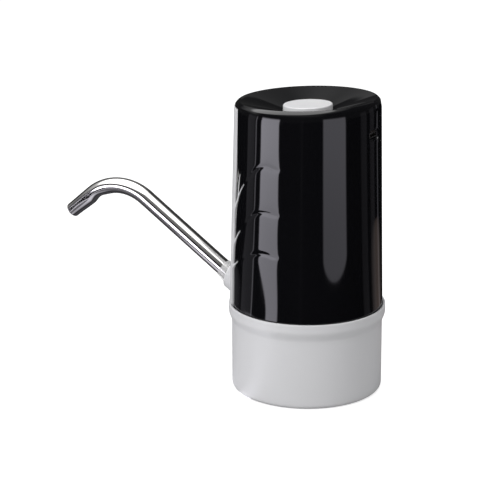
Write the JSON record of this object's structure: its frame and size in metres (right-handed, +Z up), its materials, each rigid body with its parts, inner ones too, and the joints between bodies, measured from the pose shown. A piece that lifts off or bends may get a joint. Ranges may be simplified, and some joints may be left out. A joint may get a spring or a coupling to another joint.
{
  "type": "electric water jug pump",
  "caption": "Rechargeable pump for the neck of a water jug: round body with a dished top and push button, bent steel spout and flanged base.",
  "frame": {"origin": "on the body's axis, level with the foot of the base, where the pump's own weight rests on a table", "axes": "+Z up along the body's axis; the spout leaves towards -X and the charging port faces +X"},
  "size_m": [0.1803, 0.077, 0.146],
  "materials": {
    "white_plastic": "satin moulded white plastic, faintly grey",
    "button_white": "satin moulded white plastic",
    "black_gloss": "deep high-gloss black plastic",
    "polished_steel": "polished stainless steel",
    "clear_silicone": "milky silicone",
    "grey_rubber": "matt grey rubber",
    "nylon": "matt natural nylon",
    "pump_white": "matt white plastic",
    "board_green": "green solder mask",
    "switch_black": "matt black plastic",
    "nickel": "nickel plate",
    "zinc_plate": "zinc plated steel",
    "cell_wrap": "blue shrink film over a steel cell",
    "red_wire": "red wire sheath",
    "black_wire": "black wire sheath"
  },
  "bodies": {
    "root": {"base_housing": "white_plastic", "front_panel": "white_plastic", "outer_shell": "black_gloss", "circuit_board": "board_green", "tact_switch_body": "switch_black", "micro_usb_socket": "nickel", "status_led": "clear_silicone", "board_screw_1": "zinc_plate", "board_screw_2": "zinc_plate", "board_screw_3": "zinc_plate", "battery_cell": "cell_wrap", "battery_tab_top": "nickel", "battery_tab_bottom": "nickel", "battery_strap": "zinc_plate", "chassis": "nylon", "chassis_screw_1": "zinc_plate", "chassis_screw_2": "zinc_plate", "shell_screw_1": "zinc_plate", "shell_screw_2": "zinc_plate", "shell_screw_3": "zinc_plate", "motor_can": "zinc_plate", "motor_end_cap": "nylon", "motor_sleeve": "grey_rubber", "motor_strap": "zinc_plate", "wobble_plate": "nylon", "diaphragm": "grey_rubber", "valve_plate": "nylon", "crank_case": "pump_white", "pump_cover": "pump_white", "pump_screw_1": "zinc_plate", "pump_screw_2": "zinc_plate", "pump_screw_3": "zinc_plate", "outlet_hose": "clear_silicone", "inlet_hose": "clear_silicone", "suction_fitting": "pump_white", "fitting_nut": "pump_white", "neck_gasket": "grey_rubber", "neck_grip": "grey_rubber", "motor_lead_red": "red_wire", "motor_lead_black": "black_wire", "battery_lead_red": "red_wire", "battery_lead_black": "black_wire"},
    "button": {"power_button": "button_white"},
    "plunger": {"tact_switch_plunger": "nylon"},
    "seal": {"spout_seal": "clear_silicone"},
    "spout": {"spout_tube": "polished_steel"},
    "rotor": {"motor_shaft": "polished_steel", "eccentric": "nylon", "crank_pin": "polished_steel"}
  },
  "joints": [
    {"name": "button_press", "type": "slide", "parent": "root", "child": "button", "axis": [0, 0, -1], "range_m": [0, 0.0006], "stiffness_N_per_m": 400, "springref_m": -0.0004},
    {"name": "switch_press", "type": "slide", "parent": "root", "child": "plunger", "axis": [0, 0, -1], "range_m": [0, 0.0006]},
    {"name": "spout_pull", "type": "slide", "parent": "root", "child": "seal", "axis": [-0.831, 0, 0.5563], "range_m": [0, 0.0075]},
    {"name": "spout_swivel", "type": "hinge", "parent": "seal", "child": "spout", "pos_m": [-0.036, 0, 0.0455], "axis": [-0.831, 0, 0.5563], "continuous": true},
    {"name": "motor_spin", "type": "hinge", "parent": "root", "child": "rotor", "pos_m": [-0.007, 0, 0.057], "axis": [0, 0, 1], "continuous": true}
  ],
  "couplings": [
    {"joint": "switch_press", "follows": "button_press", "ratio": 1}
  ]
}
